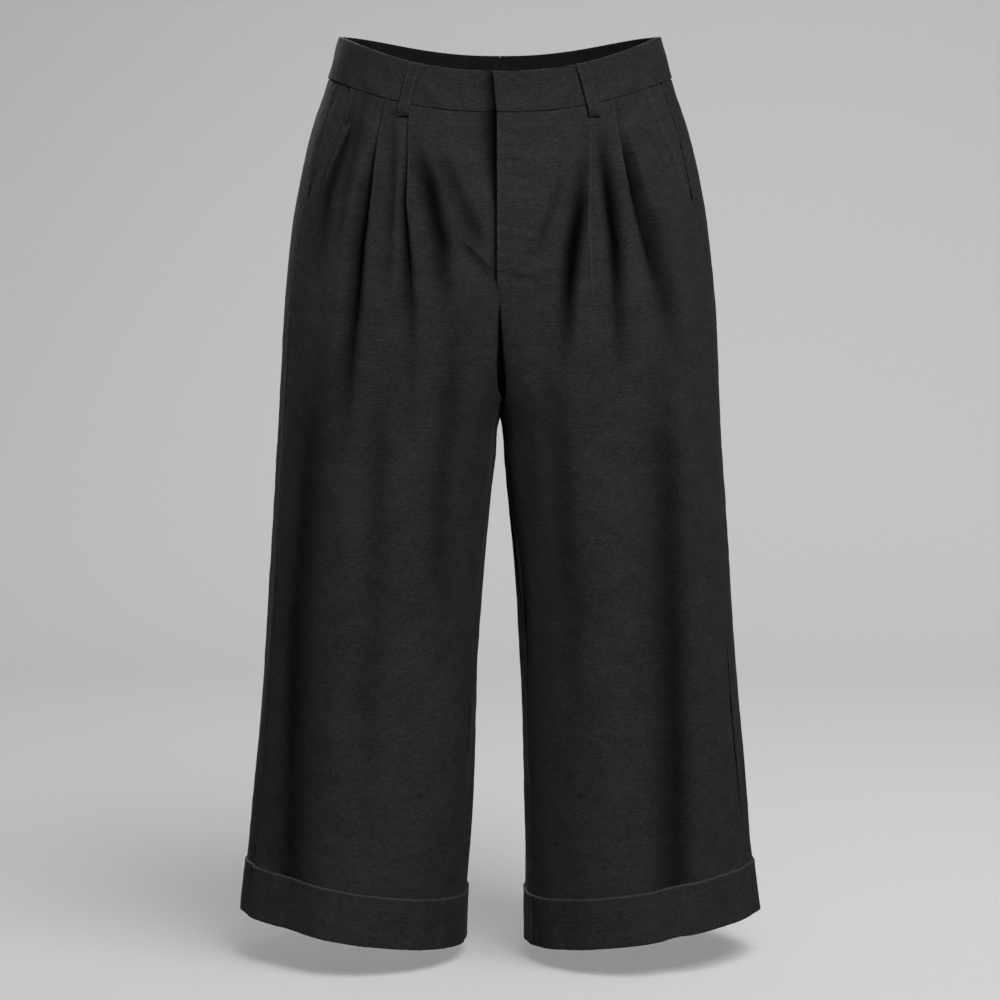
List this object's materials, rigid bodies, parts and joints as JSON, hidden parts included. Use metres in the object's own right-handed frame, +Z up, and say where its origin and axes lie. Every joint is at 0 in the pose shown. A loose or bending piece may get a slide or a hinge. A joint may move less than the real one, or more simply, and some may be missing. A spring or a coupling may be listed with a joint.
{
  "type": "culottes",
  "caption": "Wide-leg cropped culottes with front pleats, a fly front, slant pockets, belt loops and turn-up cuffs, filled out as worn but empty inside.",
  "frame": {"origin": "centre of the waist opening, half way down the waistband at the side seams", "axes": "+Z up, the front faces -Y, the wearer's left side is at +X"},
  "size_m": [0.4777, 0.2493, 0.8156],
  "materials": {
    "outer_cloth": "matte linen-like weave, charcoal black with fine slubs",
    "inner_cloth": "matte, the same cloth in the shade of the inside",
    "steel": "satin"
  },
  "bodies": {
    "root": {"front_right": "outer_cloth", "front_left": "outer_cloth", "back_right": "outer_cloth", "back_left": "outer_cloth", "pocket_panel_right": "outer_cloth", "pocket_panel_left": "outer_cloth", "waistband_right": "outer_cloth", "waistband_left": "outer_cloth", "cuff_right": "outer_cloth", "cuff_left": "outer_cloth", "belt_loop_front_right": "outer_cloth", "belt_loop_front_left": "outer_cloth", "belt_loop_back_right": "outer_cloth", "belt_loop_back_left": "outer_cloth", "belt_loop_back_centre": "outer_cloth", "fly_facing": "inner_cloth", "fly_shield": "inner_cloth", "zip_tape": "inner_cloth", "zip_slider": "steel", "waist_hook": "steel", "waist_bar": "steel"}
  },
  "joints": []
}
